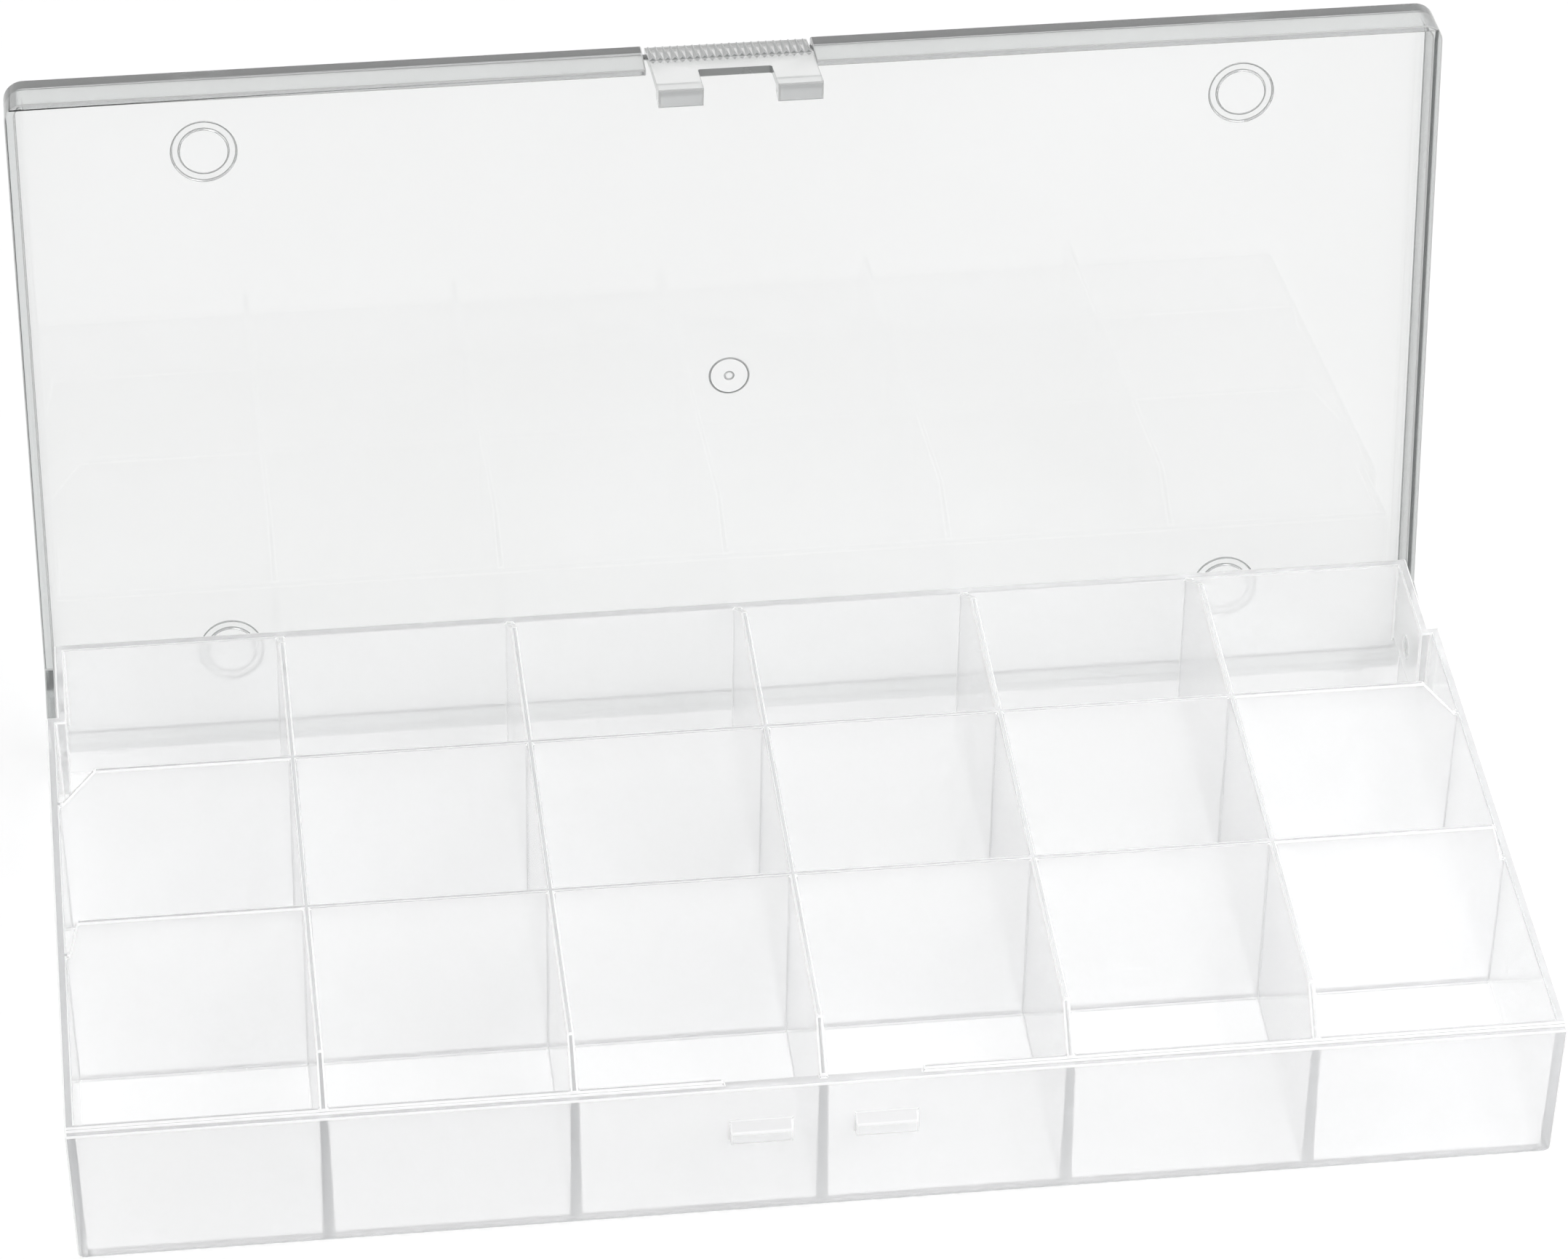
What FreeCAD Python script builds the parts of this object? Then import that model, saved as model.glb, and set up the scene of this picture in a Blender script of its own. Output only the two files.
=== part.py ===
import FreeCAD, Part
import math
import os

# Clear compartment box: a tray with moulded-in dividers and a hinged lid with a snap latch.
# Millimetres. X runs along the width, +Y is the rear, +Z is up, and the origin is the
# centre of the tray's underside. The lid is drawn closed and then swung open on its pins.

# Tray shell
TRAY_WIDTH = 210.0
TRAY_DEPTH = 111.0
WALL_HEIGHT = 24.6
WALL_LEAN = 0.6
FLOOR_THICKNESS = 1.5
SIDE_WALL = 1.4
REAR_WALL = 1.6
FOOT_RADIUS = 2.2

# Stepped top of the front wall: an inner lip, and an outer ledge that seats the lid's rim
LIP_THICKNESS = 0.8
LEDGE_WIDTH = 1.2
LEDGE_DROP = 0.6
LIP_GAP_WIDTH = 28.0

# Dividers, taller than the walls and thinner towards the top, with ends that run down to the wall tops
DIVIDER_HEIGHT = 30.5
DIVIDER_THICKNESS = 0.95
DIVIDER_FOOT = 1.5
COLUMNS = 6
CROSS_SPACING = 34.3
LONG_FRONT_RUN = 5.7
LONG_REAR_RUN = 8.9
CROSS_FRONT_RUN = 1.4
CROSS_REAR_RUN = 5.0
RIM_CLEARANCE = 0.3

# Hinge: a pin on each lid ear turns in a hole in the wall of a pocket at each rear corner
HINGE_FROM_REAR = 10.0
HINGE_HEIGHT = 15.3
PIN_RADIUS = 1.5
PIN_CLEARANCE = 0.1
EAR_RING = 1.85
EAR_REACH = 5.8
EAR_CLEARANCE = 0.15
POCKET_PLAY = 1.9
POCKET_WALL = 1.4
POCKET_SHELF = 1.0
LID_OPEN_DEG = 96.0

# Lid: a flat panel with a rim all round, shallower along the rear so that it can swing
PANEL_THICKNESS = 1.5
PANEL_CLEARANCE = 0.3
SIDE_RIM = 1.5
FRONT_RIM = 1.0
REAR_RIM = 1.5
RIM_SEAT = 0.1
SWING_CLEARANCE = 0.5
LID_CORNER_RADIUS = 3.0
LID_EDGE_RADIUS = 0.6
LID_INNER_RADIUS = 1.4

# Raised rings on the lid and the moulding gate at its centre
RING_OUTER_RADIUS = 4.8
RING_WIDTH = 1.2
RING_HEIGHT = 0.8
RING_SPACING_X = 153.2
RING_SPACING_Y = 84.8
GATE_RADIUS = 2.9
GATE_DEPTH = 0.3
GATE_PIP_RADIUS = 0.7

# Stop pads behind the rear wall, where the open lid comes to rest
PAD_WIDTH = 4.0
PAD_HEIGHT = 1.4
PAD_FROM_SIDE = 7.5
PAD_CLEARANCE = 0.1

# Catches on the front wall
CATCH_WIDTH = 8.8
CATCH_SPACING = 17.6
CATCH_UNDERSIDE = 14.8
CATCH_LAND = 2.0
CATCH_RAMP = 1.4
CATCH_PROUD = 1.3

# Latch tongue: a flared plate with a ridged grip and two hooked arms
TONGUE_WIDTH = 23.8
TONGUE_SLIT = 0.5
TONGUE_ROOT = 1.5
TONGUE_THICKNESS = 1.1
TONGUE_CLEARANCE = 0.15
ARM_THICKNESS = 1.9
ARM_CLEARANCE = 0.3
WINDOW_WIDTH = 10.7
WINDOW_HEIGHT = 8.9
WINDOW_CORNER_RADIUS = 0.4
HOOK_HEIGHT = 4.0
HOOK_LEAD = 0.6
HOOK_PLAY = 0.2
HOOK_TIP_CLEARANCE = 0.35
RIDGE_COUNT = 22
RIDGE_HEIGHT = 0.5
RIDGE_TOP_HEIGHT = 0.15
RIDGE_LENGTH = 7.7

# Length by which a cutter runs past the face that it opens, or a fused piece sinks into its carrier
OVERRUN = 0.5

# Places that follow from the sizes above
HALF_WIDTH = TRAY_WIDTH / 2
HALF_DEPTH = TRAY_DEPTH / 2
LIP_FACE = -HALF_DEPTH + LEDGE_WIDTH
FRONT_INSIDE = LIP_FACE + LIP_THICKNESS
REAR_INSIDE = HALF_DEPTH - REAR_WALL
SIDE_INSIDE = HALF_WIDTH - SIDE_WALL
LEDGE_TOP = WALL_HEIGHT - LEDGE_DROP
COLUMN_PITCH = (2 * SIDE_INSIDE + DIVIDER_THICKNESS) / COLUMNS

PANEL_UNDERSIDE = DIVIDER_HEIGHT + PANEL_CLEARANCE
LID_TOP = PANEL_UNDERSIDE + PANEL_THICKNESS
RIM_INSIDE = HALF_WIDTH - SIDE_RIM
SIDE_RIM_BOTTOM = WALL_HEIGHT + RIM_SEAT
FRONT_RIM_BOTTOM = LEDGE_TOP + RIM_SEAT

HINGE_Y = HALF_DEPTH - HINGE_FROM_REAR
HINGE_Z = HINGE_HEIGHT
EAR_RADIUS = PIN_RADIUS + EAR_RING
POCKET_FACE = RIM_INSIDE - EAR_CLEARANCE
POCKET_INSIDE = POCKET_FACE - POCKET_WALL
POCKET_FRONT = HINGE_Y - EAR_REACH - POCKET_PLAY
POCKET_FLOOR = HINGE_Z - EAR_RADIUS - EAR_CLEARANCE

# The rear rim ends where its inner corner passes just outside the rear wall's top corner
REAR_CORNER_SWING = math.hypot(HINGE_FROM_REAR, WALL_HEIGHT - HINGE_Z) + SWING_CLEARANCE
REAR_RIM_BOTTOM = HINGE_Z + math.sqrt(REAR_CORNER_SWING ** 2 - (HINGE_FROM_REAR - REAR_RIM) ** 2)

ROOT_FACE = -HALF_DEPTH + TONGUE_ROOT
OPEN_ANGLE = math.radians(LID_OPEN_DEG)


def block(x0, x1, y0, y1, z0, z1):
    """Box between two corners."""
    return Part.makeBox(x1 - x0, y1 - y0, z1 - z0, FreeCAD.Vector(x0, y0, z0))


def plate_across_x(points, x0, x1):
    """Outline in Y and Z, extruded along X."""
    corners = [FreeCAD.Vector(x0, y, z) for y, z in points]
    face = Part.Face(Part.makePolygon(corners + corners[:1]))
    return face.extrude(FreeCAD.Vector(x1 - x0, 0, 0))


def plate_across_y(points, y0, y1):
    """Outline in X and Z, extruded along Y."""
    corners = [FreeCAD.Vector(x, y0, z) for x, z in points]
    face = Part.Face(Part.makePolygon(corners + corners[:1]))
    return face.extrude(FreeCAD.Vector(0, y1 - y0, 0))


def rod_along_x(radius, x0, x1, y, z):
    """Cylinder along X between two places."""
    return Part.makeCylinder(radius, x1 - x0, FreeCAD.Vector(x0, y, z), FreeCAD.Vector(1, 0, 0))


def mirrored(shape):
    """The same piece on the other side of the box."""
    return shape.mirror(FreeCAD.Vector(0, 0, 0), FreeCAD.Vector(1, 0, 0))


def lean_at(z):
    """How far a wall stands in from its top edge at height z."""
    return WALL_LEAN * (1 - z / WALL_HEIGHT)


def rounded_foot(solid, foot_z):
    """Round the long edges that lie at the foot of an extruded wall section."""
    longest = max(edge.Length for edge in solid.Edges)
    half_length = longest / 2
    feet = [e for e in solid.Edges if e.BoundBox.ZMax < foot_z + OVERRUN and e.Length > half_length]
    return solid.makeFillet(FOOT_RADIUS, feet)


def tray_block():
    """Solid tray body with leaning walls and rounded bottom edges."""
    foot = WALL_LEAN
    across = [
        (-HALF_DEPTH + foot, 0),
        (HALF_DEPTH - foot, 0),
        (HALF_DEPTH, WALL_HEIGHT),
        (-HALF_DEPTH, WALL_HEIGHT),
    ]
    along = [
        (-HALF_WIDTH + foot, 0),
        (HALF_WIDTH - foot, 0),
        (HALF_WIDTH, WALL_HEIGHT),
        (-HALF_WIDTH, WALL_HEIGHT),
    ]
    lengthwise = rounded_foot(plate_across_x(across, -HALF_WIDTH, HALF_WIDTH), 0)
    crosswise = rounded_foot(plate_across_y(along, -HALF_DEPTH, HALF_DEPTH), 0)
    return lengthwise.common(crosswise)


def tray_cavity():
    """Room inside the walls, carried up past the dividers."""
    foot = lean_at(FLOOR_THICKNESS)
    top = DIVIDER_HEIGHT + OVERRUN
    across = [
        (FRONT_INSIDE + foot, FLOOR_THICKNESS),
        (REAR_INSIDE - foot, FLOOR_THICKNESS),
        (REAR_INSIDE, WALL_HEIGHT),
        (REAR_INSIDE, top),
        (FRONT_INSIDE, top),
        (FRONT_INSIDE, WALL_HEIGHT),
    ]
    along = [
        (-SIDE_INSIDE + foot, FLOOR_THICKNESS),
        (SIDE_INSIDE - foot, FLOOR_THICKNESS),
        (SIDE_INSIDE, WALL_HEIGHT),
        (SIDE_INSIDE, top),
        (-SIDE_INSIDE, top),
        (-SIDE_INSIDE, WALL_HEIGHT),
    ]
    return plate_across_x(across, -HALF_WIDTH, HALF_WIDTH).common(
        plate_across_y(along, -HALF_DEPTH, HALF_DEPTH)
    )


def long_divider_places():
    """Middle of each front-to-rear divider."""
    return [(i - COLUMNS / 2) * COLUMN_PITCH for i in range(1, COLUMNS)]


def wedge_section(middle):
    """Cross-section of a divider that tapers up from the tray's underside to past its top."""
    rise = DIVIDER_HEIGHT - FLOOR_THICKNESS
    taper = (DIVIDER_FOOT - DIVIDER_THICKNESS) / 2 / rise
    over = DIVIDER_HEIGHT + 2 * OVERRUN
    low_half = DIVIDER_FOOT / 2 + taper * FLOOR_THICKNESS
    high_half = DIVIDER_THICKNESS / 2 - taper * 2 * OVERRUN
    return [
        (middle - low_half, 0),
        (middle + low_half, 0),
        (middle + high_half, over),
        (middle - high_half, over),
    ]


def long_wedges():
    """Full-depth front-to-rear dividers, before their ends are shaped."""
    return [plate_across_y(wedge_section(x), -HALF_DEPTH, HALF_DEPTH) for x in long_divider_places()]


def cross_wedges():
    """Full-width cross dividers, front and rear, before their ends are shaped."""
    places = (-CROSS_SPACING / 2, CROSS_SPACING / 2)
    return [plate_across_x(wedge_section(y), -HALF_WIDTH, HALF_WIDTH) for y in places]


def divider_crests():
    """The parts of the dividers that stand above the walls."""
    root = LEDGE_TOP - OVERRUN
    long_outline = [
        (LIP_FACE, root),
        (LIP_FACE, WALL_HEIGHT),
        (LIP_FACE + LONG_FRONT_RUN, DIVIDER_HEIGHT),
        (REAR_INSIDE - LONG_REAR_RUN, DIVIDER_HEIGHT),
        (REAR_INSIDE, WALL_HEIGHT),
        (REAR_INSIDE, root),
    ]
    long_profile = plate_across_x(long_outline, -HALF_WIDTH, HALF_WIDTH)
    crests = [wedge.common(long_profile) for wedge in long_wedges()]
    end = RIM_INSIDE - RIM_CLEARANCE
    for wedge, run in zip(cross_wedges(), (CROSS_FRONT_RUN, CROSS_REAR_RUN)):
        cross_outline = [
            (-end, root),
            (-end, WALL_HEIGHT),
            (-end + run, DIVIDER_HEIGHT),
            (end - run, DIVIDER_HEIGHT),
            (end, WALL_HEIGHT),
            (end, root),
        ]
        crests.append(wedge.common(plate_across_y(cross_outline, -HALF_DEPTH, HALF_DEPTH)))
    return crests


def hinge_housing():
    """Block inside the right rear corner from which the hinge pocket is cut."""
    return block(
        POCKET_INSIDE,
        HALF_WIDTH,
        POCKET_FRONT - POCKET_WALL,
        HALF_DEPTH,
        POCKET_FLOOR - POCKET_SHELF,
        WALL_HEIGHT,
    )


def hinge_pocket():
    """Corner room that the lid's ear turns in, with the hole for its pin."""
    room = block(
        POCKET_FACE,
        HALF_WIDTH + OVERRUN,
        POCKET_FRONT,
        HALF_DEPTH + OVERRUN,
        POCKET_FLOOR,
        WALL_HEIGHT + OVERRUN,
    )
    hole = rod_along_x(
        PIN_RADIUS + PIN_CLEARANCE, POCKET_INSIDE - OVERRUN, POCKET_FACE + OVERRUN, HINGE_Y, HINGE_Z
    )
    return room.fuse(hole)


def compartments():
    """Cutter for all the compartments: the room inside the walls without the dividers and housings."""
    housing = hinge_housing()
    return tray_cavity().cut(long_wedges() + cross_wedges() + [housing, mirrored(housing)])


def catch():
    """Right-hand catch: a ramp above, a flat land and an undercut for the hook."""
    land_top = CATCH_UNDERSIDE + CATCH_LAND
    ramp_top = land_top + CATCH_RAMP
    wall = -HALF_DEPTH + lean_at(CATCH_UNDERSIDE)
    outline = [
        (wall + OVERRUN, CATCH_UNDERSIDE),
        (wall - CATCH_PROUD, CATCH_UNDERSIDE),
        (wall - CATCH_PROUD, land_top),
        (-HALF_DEPTH + lean_at(ramp_top), ramp_top),
        (wall + OVERRUN, ramp_top),
    ]
    inner = (CATCH_SPACING - CATCH_WIDTH) / 2
    return plate_across_x(outline, inner, inner + CATCH_WIDTH)


def swung(y, z):
    """Where a point of the closed lid lies, in Y and Z, when the lid is open."""
    dy = y - HINGE_Y
    dz = z - HINGE_Z
    turned_y = dy * math.cos(OPEN_ANGLE) + dz * math.sin(OPEN_ANGLE)
    turned_z = dz * math.cos(OPEN_ANGLE) - dy * math.sin(OPEN_ANGLE)
    return HINGE_Y + turned_y, HINGE_Z + turned_z


def stop_pad():
    """Right-hand pad that the open lid's rear rim leans on."""
    rim_y, rim_z = swung(HALF_DEPTH, REAR_RIM_BOTTOM)
    outer = HALF_WIDTH - PAD_FROM_SIDE
    return block(
        outer - PAD_WIDTH,
        outer,
        REAR_INSIDE,
        rim_y - PAD_CLEARANCE,
        rim_z,
        rim_z + PAD_HEIGHT,
    )


def base_tray():
    """The whole tray as one moulding."""
    body = tray_block()
    above = WALL_HEIGHT + OVERRUN
    front = -HALF_DEPTH - OVERRUN
    gap = LIP_GAP_WIDTH / 2
    ledge = block(-HALF_WIDTH - OVERRUN, HALF_WIDTH + OVERRUN, front, LIP_FACE, LEDGE_TOP, above)
    lip_gap = block(-gap, gap, front, FRONT_INSIDE + OVERRUN, LEDGE_TOP, above)
    body = body.cut([ledge, lip_gap])
    body = body.fuse(divider_crests())
    body = body.cut(compartments())
    pocket = hinge_pocket()
    body = body.cut([pocket, mirrored(pocket)])
    right = [catch(), stop_pad()]
    body = body.fuse(right + [mirrored(piece) for piece in right])
    return body.removeSplitter()


def lid_shell():
    """Panel and rim, closed, before the ears are added."""
    outer = block(-HALF_WIDTH, HALF_WIDTH, -HALF_DEPTH, HALF_DEPTH, FRONT_RIM_BOTTOM, LID_TOP)
    upright = [e for e in outer.Edges if e.BoundBox.ZLength > LID_EDGE_RADIUS]
    outer = outer.makeFillet(LID_CORNER_RADIUS, upright)
    crown = [e for e in outer.Edges if e.BoundBox.ZMin > PANEL_UNDERSIDE]
    outer = outer.makeFillet(LID_EDGE_RADIUS, crown)
    below = FRONT_RIM_BOTTOM - OVERRUN
    rim_front = -HALF_DEPTH + FRONT_RIM
    rim_rear = HALF_DEPTH - REAR_RIM
    side = HALF_WIDTH + OVERRUN
    rear = HALF_DEPTH + OVERRUN
    notch = TONGUE_WIDTH / 2 + TONGUE_SLIT
    inside = block(-RIM_INSIDE, RIM_INSIDE, rim_front, rim_rear, below, PANEL_UNDERSIDE)
    rounded = [e for e in inside.Edges if e.BoundBox.ZMax > below + OVERRUN]
    inside = inside.makeFillet(LID_INNER_RADIUS, rounded)
    side_trim = block(-side, side, rim_front, rear, below, SIDE_RIM_BOTTOM)
    rear_trim = block(-side, side, HINGE_Y, rear, below, REAR_RIM_BOTTOM)
    latch_notch = block(-notch, notch, -HALF_DEPTH - OVERRUN, ROOT_FACE, below, LID_TOP + OVERRUN)
    return outer.cut([inside, side_trim, rear_trim, latch_notch])


def tangent_from(y, z):
    """Point where a line from (y, z) touches the front of the ear's round end."""
    dy = y - HINGE_Y
    dz = z - HINGE_Z
    distance = math.hypot(dy, dz)
    angle = math.atan2(dz, dy) + math.acos(EAR_RADIUS / distance)
    return HINGE_Y + EAR_RADIUS * math.cos(angle), HINGE_Z + EAR_RADIUS * math.sin(angle)


def lid_ear():
    """Right-hand ear with its pin. Its rear edge lies level over the pocket floor when open."""
    top = REAR_RIM_BOTTOM + OVERRUN
    front = HINGE_Y - EAR_REACH
    rear_foot_y = HINGE_Y + EAR_RADIUS * math.sin(OPEN_ANGLE)
    rear_foot_z = HINGE_Z - EAR_RADIUS * math.cos(OPEN_ANGLE)
    rear_top_y = rear_foot_y + (top - rear_foot_z) * math.cos(OPEN_ANGLE) / math.sin(OPEN_ANGLE)
    outline = [
        (front, top),
        (front, SIDE_RIM_BOTTOM),
        tangent_from(front, SIDE_RIM_BOTTOM),
        (HINGE_Y, HINGE_Z),
        (rear_foot_y, rear_foot_z),
        (rear_top_y, top),
    ]
    strap = plate_across_x(outline, RIM_INSIDE, HALF_WIDTH)
    round_end = rod_along_x(EAR_RADIUS, RIM_INSIDE, HALF_WIDTH, HINGE_Y, HINGE_Z)
    pin = rod_along_x(PIN_RADIUS, POCKET_INSIDE + EAR_CLEARANCE, HALF_WIDTH, HINGE_Y, HINGE_Z)
    return strap.fuse([round_end, pin])


def lid_rings():
    """Four raised rings on the outside of the panel."""
    sunk = LID_TOP - OVERRUN
    height = RING_HEIGHT + OVERRUN
    rings = []
    for x in (-RING_SPACING_X / 2, RING_SPACING_X / 2):
        for y in (-RING_SPACING_Y / 2, RING_SPACING_Y / 2):
            foot = FreeCAD.Vector(x, y, sunk)
            disc = Part.makeCylinder(RING_OUTER_RADIUS, height, foot)
            rings.append(disc.cut(Part.makeCylinder(RING_OUTER_RADIUS - RING_WIDTH, height, foot)))
    return rings


def lid_closed():
    """The whole lid as one moulding, in the closed position."""
    ear = lid_ear()
    body = lid_shell().fuse([ear, mirrored(ear)] + lid_rings())
    floor = FreeCAD.Vector(0, 0, LID_TOP - GATE_DEPTH)
    gate = Part.makeCylinder(GATE_RADIUS, GATE_DEPTH + OVERRUN, floor)
    pip = Part.makeCylinder(GATE_PIP_RADIUS, GATE_DEPTH + OVERRUN, floor)
    return body.cut(gate.cut(pip)).removeSplitter()


def tongue_outline():
    """Side view of the latch tongue, from its root at the panel down to the hook."""
    wall = -HALF_DEPTH + lean_at(CATCH_UNDERSIDE)
    bend_z = LEDGE_TOP
    bend_inner = -HALF_DEPTH + lean_at(bend_z) - TONGUE_CLEARANCE
    hook_top = CATCH_UNDERSIDE - HOOK_PLAY
    hook_bottom = hook_top - HOOK_HEIGHT
    arm_inner = wall - CATCH_PROUD - ARM_CLEARANCE
    tip = wall - HOOK_TIP_CLEARANCE
    return [
        (ROOT_FACE, LID_TOP),
        (-HALF_DEPTH + RIDGE_HEIGHT, LID_TOP),
        (bend_inner - TONGUE_THICKNESS, bend_z),
        (arm_inner - ARM_THICKNESS, hook_bottom),
        (tip, hook_bottom + HOOK_LEAD),
        (tip, hook_top),
        (arm_inner, hook_top),
        (bend_inner, bend_z),
        (ROOT_FACE, PANEL_UNDERSIDE),
    ]


def tongue_ridges():
    """Upright V ridges that grow out of the flared face, drawn as one zigzag and swept down."""
    outline = tongue_outline()
    face_y, top_z = outline[1]
    bend_y, bend_z = outline[2]
    slope = (bend_y - face_y) / (top_z - bend_z)
    growth = RIDGE_HEIGHT - RIDGE_TOP_HEIGHT
    top_y = face_y + growth
    pitch = TONGUE_WIDTH / RIDGE_COUNT
    left = -TONGUE_WIDTH / 2
    zigzag = [FreeCAD.Vector(left, top_y, top_z)]
    for i in range(RIDGE_COUNT):
        middle = left + i * pitch + pitch / 2
        zigzag.append(FreeCAD.Vector(middle, top_y - RIDGE_HEIGHT, top_z))
        zigzag.append(FreeCAD.Vector(middle + pitch / 2, top_y, top_z))
    zigzag.append(FreeCAD.Vector(-left, top_y + OVERRUN, top_z))
    zigzag.append(FreeCAD.Vector(left, top_y + OVERRUN, top_z))
    face = Part.Face(Part.makePolygon(zigzag + zigzag[:1]))
    return face.extrude(FreeCAD.Vector(0, slope * RIDGE_LENGTH - growth, -RIDGE_LENGTH))


def latch_tongue_closed():
    """The flexing latch at the middle of the lid's front edge, closed."""
    half = TONGUE_WIDTH / 2
    outline = tongue_outline()
    plate = plate_across_x(outline, -half, half).fuse(tongue_ridges())
    hook_bottom = outline[3][1]
    window = block(
        -WINDOW_WIDTH / 2,
        WINDOW_WIDTH / 2,
        outline[3][0] - OVERRUN,
        ROOT_FACE,
        hook_bottom - OVERRUN,
        hook_bottom + WINDOW_HEIGHT,
    )
    corners = [e for e in window.Edges if e.BoundBox.ZMin > hook_bottom and e.BoundBox.YLength > OVERRUN]
    window = window.makeFillet(WINDOW_CORNER_RADIUS, corners)
    return plate.cut(window).removeSplitter()


def opened(shape):
    """Swing a piece of the lid from closed to fully open."""
    hinge = FreeCAD.Vector(0, HINGE_Y, HINGE_Z)
    return shape.rotated(hinge, FreeCAD.Vector(1, 0, 0), -LID_OPEN_DEG)


os.makedirs("parts", exist_ok=True)
nodes = {
    "base_tray": base_tray(),
    "lid": opened(lid_closed()),
    "latch_tongue": opened(latch_tongue_closed()),
}
for name, shape in nodes.items():
    shape.exportStep(f"parts/{name}.step")
    bounds = shape.BoundBox
    print(name, "solids", len(shape.Solids), "valid", shape.isValid(), "volume", round(shape.Volume, 1))
    print("  low", round(bounds.XMin, 2), round(bounds.YMin, 2), round(bounds.ZMin, 2))
    print("  high", round(bounds.XMax, 2), round(bounds.YMax, 2), round(bounds.ZMax, 2))
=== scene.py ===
import math
from collections import namedtuple

import bmesh
import bpy
from mathutils import Matrix, Vector


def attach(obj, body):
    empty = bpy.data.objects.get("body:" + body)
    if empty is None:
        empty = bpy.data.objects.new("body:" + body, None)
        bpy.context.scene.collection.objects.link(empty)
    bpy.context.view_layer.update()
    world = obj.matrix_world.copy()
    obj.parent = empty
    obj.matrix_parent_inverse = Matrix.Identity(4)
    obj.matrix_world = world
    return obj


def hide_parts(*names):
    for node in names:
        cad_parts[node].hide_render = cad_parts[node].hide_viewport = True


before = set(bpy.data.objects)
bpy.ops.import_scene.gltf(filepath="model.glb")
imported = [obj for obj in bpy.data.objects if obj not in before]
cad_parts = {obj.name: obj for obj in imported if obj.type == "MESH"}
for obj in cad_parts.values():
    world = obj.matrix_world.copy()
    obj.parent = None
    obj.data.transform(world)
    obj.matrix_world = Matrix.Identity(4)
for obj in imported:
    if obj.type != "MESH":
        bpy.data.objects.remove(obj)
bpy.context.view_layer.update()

# A clear compartment box that stands open: the CAD nodes with rounded edges and plastic finishes, with
# painted highlights on the edges and painted light and shade in some zones.
# Lengths are in metres, as in the frame, and powers in watts.
MM = 0.001

# Camera, fitted to the photograph. Blender takes the sensor's width in millimetres.
CAMERA_YAW = math.radians(7.0)
CAMERA_PITCH = math.radians(37.204)
CAMERA_ROLL = math.radians(0.552)
CAMERA_DISTANCE = 966.86 * MM
CAMERA_AIM = Vector((4.07, 29.03, 38.93)) * MM
CAMERA_NEAREST = 0.01
CAMERA_FARTHEST = 100
SENSOR_WIDTH = 36.0
FOCAL_PIXELS = 9012.2
IMAGE_WIDTH = 2156

# Roundings that the mould leaves on the edges
TRAY_EDGE = 0.26 * MM
ROOM_CORNER = 0.50 * MM
LID_EDGE = 0.20 * MM
LATCH_EDGE = 0.04 * MM
HOOK_EDGE = 0.30 * MM
EDGE_SEGMENTS = 3
LARGE_FACE_WEIGHT = 100

# The compartments' bottom corners are below the first place, and the hooks' ends in front of the second
ROOM_FLOOR_TOP = 3 * MM
HOOK_REAR = 53 * MM

# What counts as one point, a flat joint, a sharp edge, a chain of edges and a small step of the lid
WELD = 0.002 * MM
FLAT_ANGLE = math.radians(0.5)
SHARP_ANGLE = math.radians(32)
CHAIN_ANGLE = math.radians(40)
LID_STEP = 0.80 * MM

# Zones painted with light or shade of their own: shares of a face's normal along an axis, and limits of
# its place
RAMP_SHARE = 0.4
RAMP_HIGHEST = 20 * MM
RIM_SHARE = 0.3
RIDGE_SHARES = (0.3, 0.95)
END_SHARE = 0.7
SHADE_FRONT = 56 * MM

# Material slots that each piece has before its zones are painted
BODY_SLOT = 0
# The edge slot carries painted highlights: a near-white haze on the outer roundings
EDGE_HIGHLIGHT_SLOT = 1

# Clear plastic: what its finishes share
PLASTIC_IOR = 1.58
SHADOW_COLOUR = (0.95, 0.95, 0.95, 1)
HAZE_SCALE = 60
HAZE_DETAIL = 6
HAZE_RANGE = (0.45, 0.75)
CLOUD_SCALE = 14
CLOUD_DETAIL = 3
CLOUD_RANGE = (0.3, 0.7)
CLOUD_DARKER = (0.012, 0.012, 0.014)
CLOUD_LIGHTER = (0.012, 0.012, 0.012)
WAVE_SCALE = 45
WAVE_DETAIL = 1
WAVE_STRENGTH = 0.05
WAVE_HEIGHT = 0.02 * MM

# Resins: the colour that light takes on inside the plastic, and how fast it does
Resin = namedtuple("Resin", "colour density")
TRAY_RESIN = Resin(colour=(0.485, 0.5, 0.515, 1), density=25)
LID_RESIN = Resin(colour=(0.475, 0.515, 0.51, 1), density=75)
LATCH_RESIN = LID_RESIN._replace(density=110)
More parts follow.
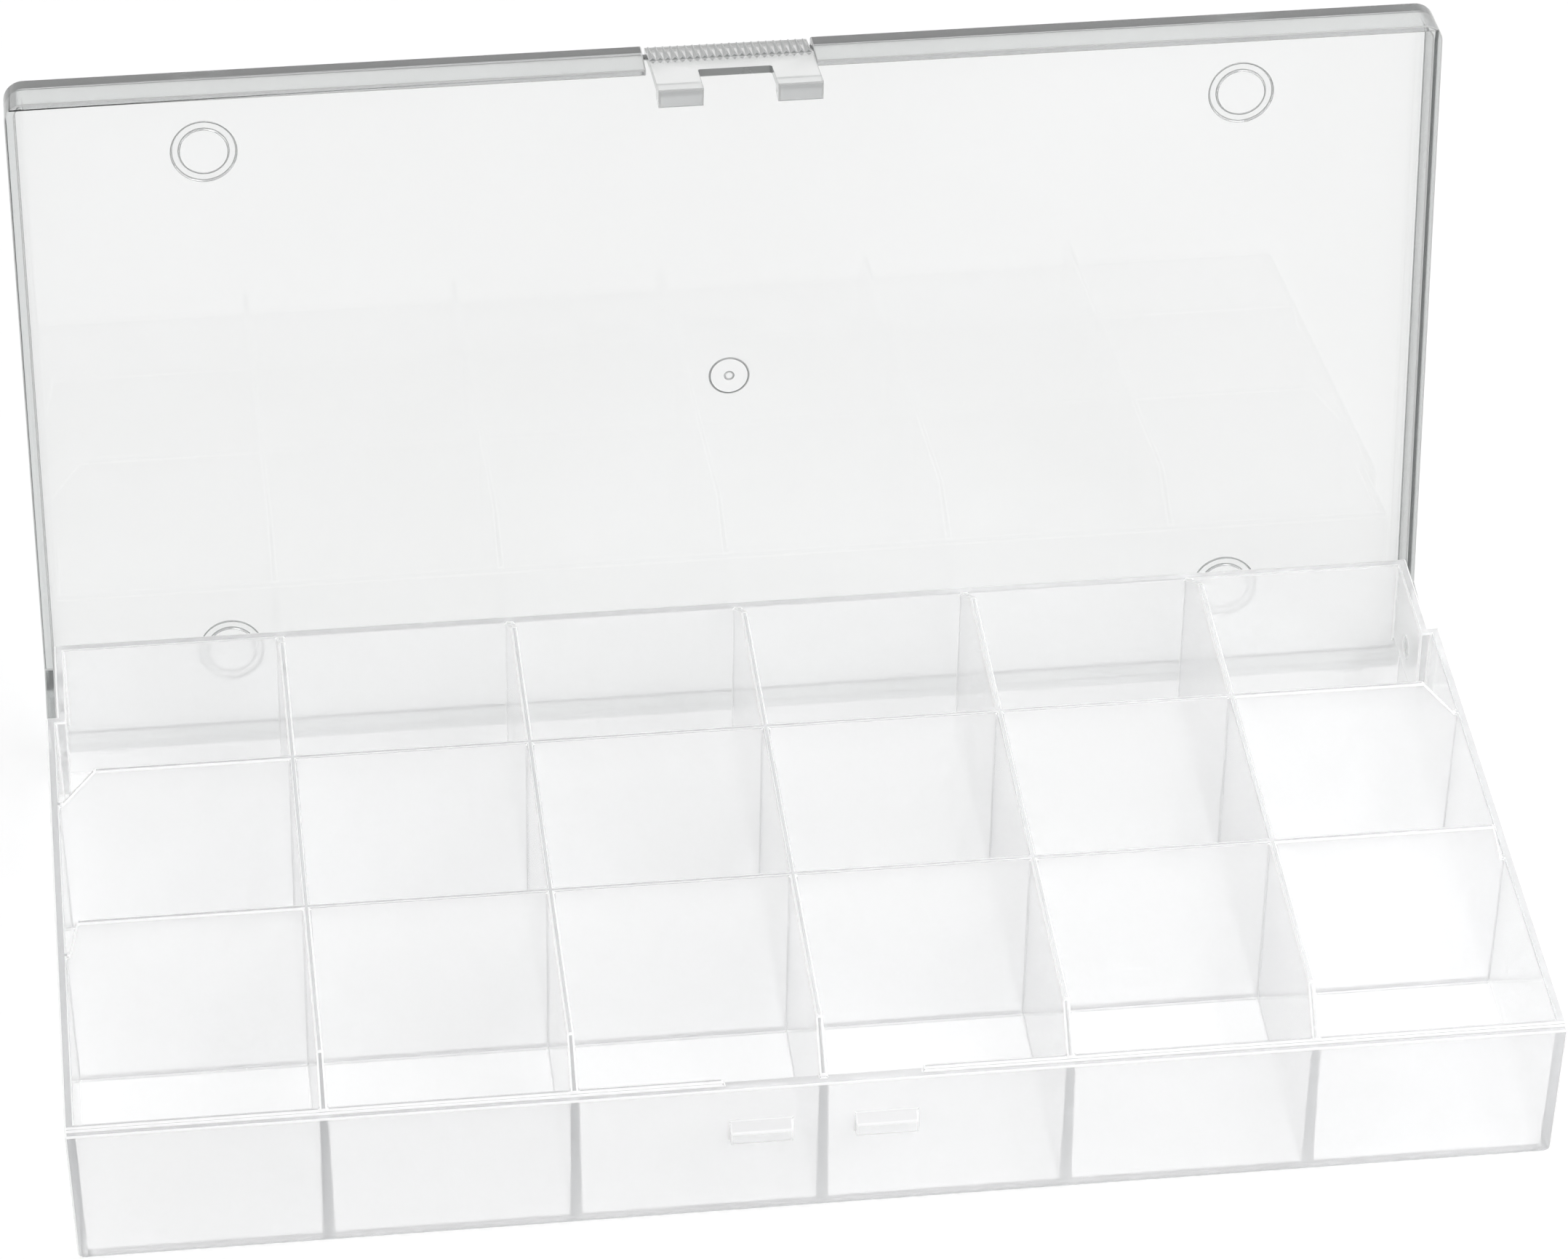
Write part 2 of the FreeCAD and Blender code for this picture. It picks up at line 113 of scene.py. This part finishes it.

# Finishes: surface colour, share of light let through, least and most blur, and the resin. Edges, ramps,
# rim and latch zones carry painted highlights, light and shade
Finish = namedtuple("Finish", "colour clarity blur resin")
FINISHES_AND_PAINTED_LIGHT = {
    "clear_tray": Finish(colour=(0.978, 0.978, 0.98), clarity=0.7, blur=(0.12, 0.2), resin=TRAY_RESIN),
    # Edge finishes are painted highlights: a near-white haze that lets little light through
    "tray_edge_highlights": Finish(colour=(0.985, 0.985, 0.987), clarity=0.12, blur=(0.16, 0.24), resin=TRAY_RESIN),
    # The catch ramps are painted light: a white haze on the slopes that face up
    "catch_ramps_painted_light": Finish(colour=(0.965, 0.965, 0.97), clarity=0.25, blur=(0.2, 0.3), resin=TRAY_RESIN),
    "clear_lid": Finish(colour=(0.925, 0.925, 0.923), clarity=0.95, blur=(0.02, 0.05), resin=LID_RESIN),
    # The lid's edge finish is a painted highlight
    "lid_edge_highlights": Finish(colour=(0.97, 0.97, 0.97), clarity=0.55, blur=(0.05, 0.1), resin=LID_RESIN),
    # The lid's rim is grey painted shade, standing in for the dimmer overhead that it reflects
    "lid_rim_painted_shade": Finish(colour=(0.8, 0.81, 0.806), clarity=0.85, blur=(0.14, 0.22), resin=LID_RESIN),
    "clear_latch": Finish(colour=(0.9, 0.9, 0.898), clarity=0.88, blur=(0.1, 0.16), resin=LATCH_RESIN),
    # The latch's edge finish is a painted highlight
    "latch_edge_highlights": Finish(colour=(0.98, 0.98, 0.98), clarity=0.6, blur=(0.05, 0.1), resin=LATCH_RESIN),
    # The ridges' flanks are dark painted shade
    "latch_ridges_painted_shade": Finish(colour=(0.42, 0.435, 0.43), clarity=0.75, blur=(0.1, 0.18), resin=LATCH_RESIN),
    "latch_shade": Finish(colour=(0.5, 0.515, 0.51), clarity=0.6, blur=(0.2, 0.3), resin=LATCH_RESIN),
    # The latch's ends are grey painted shade
    "latch_ends_painted_shade": Finish(colour=(0.78, 0.79, 0.79), clarity=0.5, blur=(0.3, 0.4), resin=LATCH_RESIN),
}

# Floor, just under the box so that the two never share a plane
FLOOR_HALF = 3.0
FLOOR_DROP = 0.02 * MM
FLOOR_COLOUR = (0.55, 0.55, 0.55, 1)
FLOOR_GLOW = 0.44

# Studio: a dome that is dimmer overhead, and soft square lamps
DOME_STRENGTH = 1.23
DOME_HORIZON = (1.0, 1.0, 1.0, 1)
DOME_ZENITH = (0.34, 0.34, 0.345, 1)
Lamp = namedtuple("Lamp", "place aim size power")
LAMPS = {
    "key_soft": Lamp(place=(0.5, -0.9, 1.0), aim=(0, 0, 0.03), size=0.6, power=6),
    "fill_left": Lamp(place=(-1.1, -0.1, 0.35), aim=(0, 0, 0.03), size=0.5, power=3.5),
    "fill_right": Lamp(place=(1.1, -0.1, 0.35), aim=(0, 0, 0.03), size=0.5, power=3.5),
    "back_soft": Lamp(place=(0.4, 0.9, 1.0), aim=(0, 0, 0.05), size=0.6, power=2),
}

# Bounces of light: enough to pass through all the walls of the box
CLEAR_BOUNCES = 24
GLOSSY_BOUNCES = 16
SHADOW_BOUNCES = 48


# Edges and their roundings

def carries_on(line, corner):
    """True if another sharp edge leaves this corner of an edge nearly straight on."""
    along = (corner.co - line.other_vert(corner).co).normalized()
    for other in corner.link_edges:
        if other is not line and abs(other.calc_face_angle_signed(0)) > SHARP_ANGLE:
            if along.angle((other.other_vert(corner).co - corner.co).normalized()) < CHAIN_ANGLE:
                return True
    return False


def is_step(line, step):
    """True for a short edge that is no part of a curve, such as the side of a small step."""
    return line.calc_length() < step and not all(carries_on(line, corner) for corner in line.verts)


def tray_rounding(line, bend):
    """Rounding of a tray edge: wider in the inside corners at the floor of a compartment."""
    low = all(end.co.z < ROOM_FLOOR_TOP for end in line.verts)
    return ROOM_CORNER if bend < 0 and low else TRAY_EDGE


def lid_rounding(line, bend):
    """Rounding of a lid edge: the same everywhere."""
    return LID_EDGE


def latch_rounding(line, bend):
    """Rounding of a latch edge: wider on the outside edges of the hooks' ends."""
    forward = all(end.co.y < HOOK_REAR for end in line.verts)
    return HOOK_EDGE if bend > 0 and forward else LATCH_EDGE


def welded_mesh(node, widest, rounding_of, step):
    """Copy of a CAD node's mesh in flat faces, with each sharp edge weighted by its rounding."""
    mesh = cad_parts[node].data.copy()
    mesh.materials.clear()
    shape = bmesh.new()
    shape.from_mesh(mesh)
    bmesh.ops.remove_doubles(shape, verts=shape.verts, dist=WELD)
    bmesh.ops.dissolve_limit(shape, angle_limit=FLAT_ANGLE, verts=shape.verts, edges=shape.edges)
    bmesh.ops.recalc_face_normals(shape, faces=shape.faces)
    weights = shape.edges.layers.float.new("bevel_weight_edge")
    for line in shape.edges:
        bend = line.calc_face_angle_signed(0)
        if abs(bend) > SHARP_ANGLE:
            line.smooth = not is_step(line, step)
            if line.smooth:
                line[weights] = rounding_of(line, bend) / widest
    for face in shape.faces:
        face.smooth = True
    shape.to_mesh(mesh)
    shape.free()
    return mesh


def add_rounding(rough, widest):
    """Modifiers that round the weighted edges and shade the flat faces as flat."""
    rounding = rough.modifiers.new("rounding", "BEVEL")
    rounding.width = widest
    rounding.segments = EDGE_SEGMENTS
    rounding.limit_method = "WEIGHT"
    rounding.use_clamp_overlap = False
    rounding.loop_slide = False
    # The roundings take the slot of the painted edge highlights
    rounding.material = EDGE_HIGHLIGHT_SLOT
    weighting = rough.modifiers.new("weighting", "WEIGHTED_NORMAL")
    weighting.weight = LARGE_FACE_WEIGHT
    weighting.keep_sharp = True


def mark_edge_highlights(mesh):
    """Leave the painted edge highlights only on roundings that stand out, not on inside corners."""
    shape = bmesh.new()
    shape.from_mesh(mesh)
    for face in shape.faces:
        bend = sum(line.calc_face_angle_signed(0) for line in face.edges)
        if face.material_index == EDGE_HIGHLIGHT_SLOT and bend < 0:
            mesh.polygons[face.index].material_index = BODY_SLOT
    shape.free()


def moulded_piece(node, name, body, widest, rounding_of, step=0):
    """CAD node with its edges rounded as a mould leaves them, and two empty material slots."""
    rough = bpy.data.objects.new(name + "_rough", welded_mesh(node, widest, rounding_of, step))
    bpy.context.scene.collection.objects.link(rough)
    for slot in (BODY_SLOT, EDGE_HIGHLIGHT_SLOT):
        rough.data.materials.append(None)
    add_rounding(rough, widest)
    graph = bpy.context.evaluated_depsgraph_get()
    mesh = bpy.data.meshes.new_from_object(rough.evaluated_get(graph))
    mesh.name = name
    mark_edge_highlights(mesh)
    piece = bpy.data.objects.new(name, mesh)
    bpy.context.scene.collection.objects.link(piece)
    bpy.data.objects.remove(rough)
    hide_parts(node)
    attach(piece, body)
    return piece


# Materials

def blank_tree(owner):
    """Nodes and links of a material or world, with nothing in them yet."""
    owner.use_nodes = True
    owner.node_tree.nodes.clear()
    return owner.node_tree.nodes, owner.node_tree.links


def noise(nodes, links, place, scale, detail):
    """Soft noise over the object."""
    texture = nodes.new("ShaderNodeTexNoise")
    texture.inputs["Scale"].default_value = scale
    texture.inputs["Detail"].default_value = detail
    links.new(place, texture.inputs["Vector"])
    return texture.outputs["Fac"]


def colour_ramp(nodes, links, value, stops):
    """Colour that runs from one stop to the other as a value grows."""
    ramp = nodes.new("ShaderNodeValToRGB")
    for element, (position, colour) in zip(ramp.color_ramp.elements, stops):
        element.position = position
        element.color = colour
    links.new(value, ramp.inputs["Fac"])
    return ramp.outputs["Color"]


def haze_blur(nodes, links, place, blur):
    """Roughness that varies in hazy patches."""
    spread = nodes.new("ShaderNodeMapRange")
    spread.inputs["From Min"].default_value = HAZE_RANGE[0]
    spread.inputs["From Max"].default_value = HAZE_RANGE[1]
    spread.inputs["To Min"].default_value = blur[0]
    spread.inputs["To Max"].default_value = blur[1]
    links.new(noise(nodes, links, place, HAZE_SCALE, HAZE_DETAIL), spread.inputs["Value"])
    return spread.outputs["Result"]


def cloud_colour(nodes, links, place, colour):
    """Colour that is a little darker and lighter in clouds."""
    dark = [part - less for part, less in zip(colour, CLOUD_DARKER)]
    light = [part + more for part, more in zip(colour, CLOUD_LIGHTER)]
    stops = zip(CLOUD_RANGE, ((*dark, 1), (*light, 1)))
    return colour_ramp(nodes, links, noise(nodes, links, place, CLOUD_SCALE, CLOUD_DETAIL), stops)


def mould_waves(nodes, links, place):
    """Normal with the faint waves of a moulded face."""
    bump = nodes.new("ShaderNodeBump")
    bump.inputs["Strength"].default_value = WAVE_STRENGTH
    bump.inputs["Distance"].default_value = WAVE_HEIGHT
    links.new(noise(nodes, links, place, WAVE_SCALE, WAVE_DETAIL), bump.inputs["Height"])
    return bump.outputs["Normal"]


def clear_to_shadows(nodes, links, surface):
    """Surface that lets shadow rays pass, so that the box's shadow stays pale."""
    through = nodes.new("ShaderNodeBsdfTransparent")
    through.inputs["Color"].default_value = SHADOW_COLOUR
    path = nodes.new("ShaderNodeLightPath")
    mixed = nodes.new("ShaderNodeMixShader")
    links.new(path.outputs["Is Shadow Ray"], mixed.inputs["Fac"])
    links.new(surface.outputs["BSDF"], mixed.inputs[1])
    links.new(through.outputs["BSDF"], mixed.inputs[2])
    return mixed.outputs["Shader"]


def clear_plastic(name):
    """One finish of the clear plastic, or the painted light or shade of an edge or zone."""
    finish = FINISHES_AND_PAINTED_LIGHT[name]
    material = bpy.data.materials.new(name)
    nodes, links = blank_tree(material)
    place = nodes.new("ShaderNodeTexCoord").outputs["Object"]
    surface = nodes.new("ShaderNodeBsdfPrincipled")
    surface.inputs["Transmission Weight"].default_value = finish.clarity
    surface.inputs["IOR"].default_value = PLASTIC_IOR
    links.new(haze_blur(nodes, links, place, finish.blur), surface.inputs["Roughness"])
    links.new(cloud_colour(nodes, links, place, finish.colour), surface.inputs["Base Color"])
    links.new(mould_waves(nodes, links, place), surface.inputs["Normal"])
    absorb = nodes.new("ShaderNodeVolumeAbsorption")
    absorb.inputs["Color"].default_value = finish.resin.colour
    absorb.inputs["Density"].default_value = finish.resin.density
    output = nodes.new("ShaderNodeOutputMaterial")
    links.new(clear_to_shadows(nodes, links, surface), output.inputs["Surface"])
    links.new(absorb.outputs["Volume"], output.inputs["Volume"])
    return material


def floor_material():
    """Pale floor that glows to white in view and still takes the object's shadow."""
    material = bpy.data.materials.new("pale_floor")
    nodes, links = blank_tree(material)
    path = nodes.new("ShaderNodeLightPath")
    seen = path.outputs["Is Camera Ray"]
    for other_way in ("Is Glossy Ray", "Is Transmission Ray"):
        either = nodes.new("ShaderNodeMath")
        either.operation = "MAXIMUM"
        links.new(seen, either.inputs[0])
        links.new(path.outputs[other_way], either.inputs[1])
        seen = either.outputs["Value"]
    level = nodes.new("ShaderNodeMath")
    level.operation = "MULTIPLY"
    level.inputs[1].default_value = FLOOR_GLOW
    links.new(seen, level.inputs[0])
    glow = nodes.new("ShaderNodeEmission")
    links.new(level.outputs["Value"], glow.inputs["Strength"])
    matt = nodes.new("ShaderNodeBsdfDiffuse")
    matt.inputs["Color"].default_value = FLOOR_COLOUR
    both = nodes.new("ShaderNodeAddShader")
    links.new(matt.outputs["BSDF"], both.inputs[0])
    links.new(glow.outputs["Emission"], both.inputs[1])
    output = nodes.new("ShaderNodeOutputMaterial")
    links.new(both.outputs["Shader"], output.inputs["Surface"])
    return material


# Zones of the pieces that get painted light or shade

def is_catch_ramp(face):
    """True for the sloping top of a catch on the front wall, which is painted light as it faces up."""
    slopes = face.normal.y < -RAMP_SHARE and face.normal.z > RAMP_SHARE
    return slopes and face.center.z < RAMP_HIGHEST


def is_rim(face):
    """True for a face of the lid that stands square to its panel; these faces are painted grey shade."""
    return abs(face.normal.y) < RIM_SHARE


def is_ridge(face):
    """True for a flank of the grip's ridges; these flanks are painted dark shade."""
    return RIDGE_SHARES[0] < abs(face.normal.x) < RIDGE_SHARES[1]


def is_end(face):
    """True for the ends of the latch's hooks; these faces are painted grey shade."""
    return abs(face.normal.y) > END_SHARE


def is_shaded_end(face):
    """True for the lower ends of the ridges and the top of the latch's window."""
    return face.normal.y < -END_SHARE and face.center.y > SHADE_FRONT


def paint_piece(piece, body_finish, edge_highlight_finish, zones):
    """Give a piece its body finish, its painted edge highlights and its zones of painted light or shade.
    A face of the body goes to the first zone that it belongs to.
    """
    mesh = piece.data
    mesh.materials[BODY_SLOT] = clear_plastic(body_finish)
    mesh.materials[EDGE_HIGHLIGHT_SLOT] = clear_plastic(edge_highlight_finish)
    for name, belongs in zones.items():
        zone_slot = len(mesh.materials)
        mesh.materials.append(clear_plastic(name))
        for face in mesh.polygons:
            if face.material_index == BODY_SLOT and belongs(face):
                face.material_index = zone_slot


# Pieces

def make_tray():
    """Tray with its compartments and catches."""
    tray = moulded_piece("base_tray", "clear_tray", "tray", ROOM_CORNER, tray_rounding)
    # The catch ramps get painted light
    paint_piece(tray, "clear_tray", "tray_edge_highlights", {"catch_ramps_painted_light": is_catch_ramp})


def make_lid():
    """Lid with its rim, ears and rings."""
    lid = moulded_piece("lid", "clear_lid", "lid", LID_EDGE, lid_rounding, LID_STEP)
    # The lid's rim gets grey painted shade
    paint_piece(lid, "clear_lid", "lid_edge_highlights", {"lid_rim_painted_shade": is_rim})


def make_latch():
    """Latch tongue with its grip and hooks."""
    latch = moulded_piece("latch_tongue", "clear_latch_tongue", "latch", HOOK_EDGE, latch_rounding)
    # The ridges' flanks, their lower ends, the window's top and the hooks' ends are painted shade
    zones = {"latch_ridges_painted_shade": is_ridge, "latch_shade": is_shaded_end, "latch_ends_painted_shade": is_end}
    paint_piece(latch, "clear_latch", "latch_edge_highlights", zones)


# Studio

def make_floor():
    """Wide floor under the box."""
    half = FLOOR_HALF
    mesh = bpy.data.meshes.new("floor")
    corners = [(-half, -half, 0), (half, -half, 0), (half, half, 0), (-half, half, 0)]
    mesh.from_pydata(corners, [], [(0, 1, 2, 3)])
    floor = bpy.data.objects.new("floor", mesh)
    floor.location.z = -FLOOR_DROP
    mesh.materials.append(floor_material())
    bpy.context.scene.collection.objects.link(floor)


def make_world():
    """Studio dome: white at the horizon, dimmer overhead."""
    world = bpy.data.worlds.new("studio")
    bpy.context.scene.world = world
    nodes, links = blank_tree(world)
    place = nodes.new("ShaderNodeTexCoord")
    split = nodes.new("ShaderNodeSeparateXYZ")
    links.new(place.outputs["Generated"], split.inputs["Vector"])
    background = nodes.new("ShaderNodeBackground")
    background.inputs["Strength"].default_value = DOME_STRENGTH
    colour = colour_ramp(nodes, links, split.outputs["Z"], ((0, DOME_HORIZON), (1, DOME_ZENITH)))
    links.new(colour, background.inputs["Color"])
    output = nodes.new("ShaderNodeOutputWorld")
    links.new(background.outputs["Background"], output.inputs["Surface"])


def make_lights():
    """Soft square lamps: a key from the front, a fill on each side and one behind."""
    for name, lamp in LAMPS.items():
        data = bpy.data.lights.new(name, "AREA")
        data.shape = "SQUARE"
        data.size = lamp.size
        data.energy = lamp.power
        light = bpy.data.objects.new(name, data)
        light.location = lamp.place
        light.rotation_mode = "QUATERNION"
        light.rotation_quaternion = (Vector(lamp.aim) - Vector(lamp.place)).to_track_quat("-Z", "Y")
        bpy.context.scene.collection.objects.link(light)


def make_camera():
    """Camera fitted to the photograph's view."""
    yaw, pitch, roll = CAMERA_YAW, CAMERA_PITCH, CAMERA_ROLL
    forward = Vector((math.sin(yaw) * math.cos(pitch), math.cos(yaw) * math.cos(pitch), -math.sin(pitch)))
    level = Vector((math.cos(yaw), -math.sin(yaw), 0))
    rise = level.cross(forward)
    right = math.cos(roll) * level + math.sin(roll) * rise
    up = right.cross(forward)
    data = bpy.data.cameras.new("camera")
    data.sensor_width = SENSOR_WIDTH
    data.lens = SENSOR_WIDTH * FOCAL_PIXELS / IMAGE_WIDTH
    data.clip_start = CAMERA_NEAREST
    data.clip_end = CAMERA_FARTHEST
    camera = bpy.data.objects.new("camera", data)
    turn = Matrix((right, up, -forward)).transposed().to_4x4()
    camera.matrix_world = Matrix.Translation(CAMERA_AIM - forward * CAMERA_DISTANCE) @ turn
    bpy.context.scene.collection.objects.link(camera)
    bpy.context.scene.camera = camera


def set_light_paths():
    """Plain view transform, and enough bounces for clear plastic."""
    scene = bpy.context.scene
    scene.view_settings.view_transform = "Standard"
    scene.cycles.max_bounces = CLEAR_BOUNCES
    scene.cycles.transmission_bounces = CLEAR_BOUNCES
    scene.cycles.glossy_bounces = GLOSSY_BOUNCES
    scene.cycles.transparent_max_bounces = SHADOW_BOUNCES


make_tray()
make_lid()
make_latch()
make_floor()
make_world()
make_lights()
make_camera()
set_light_paths()
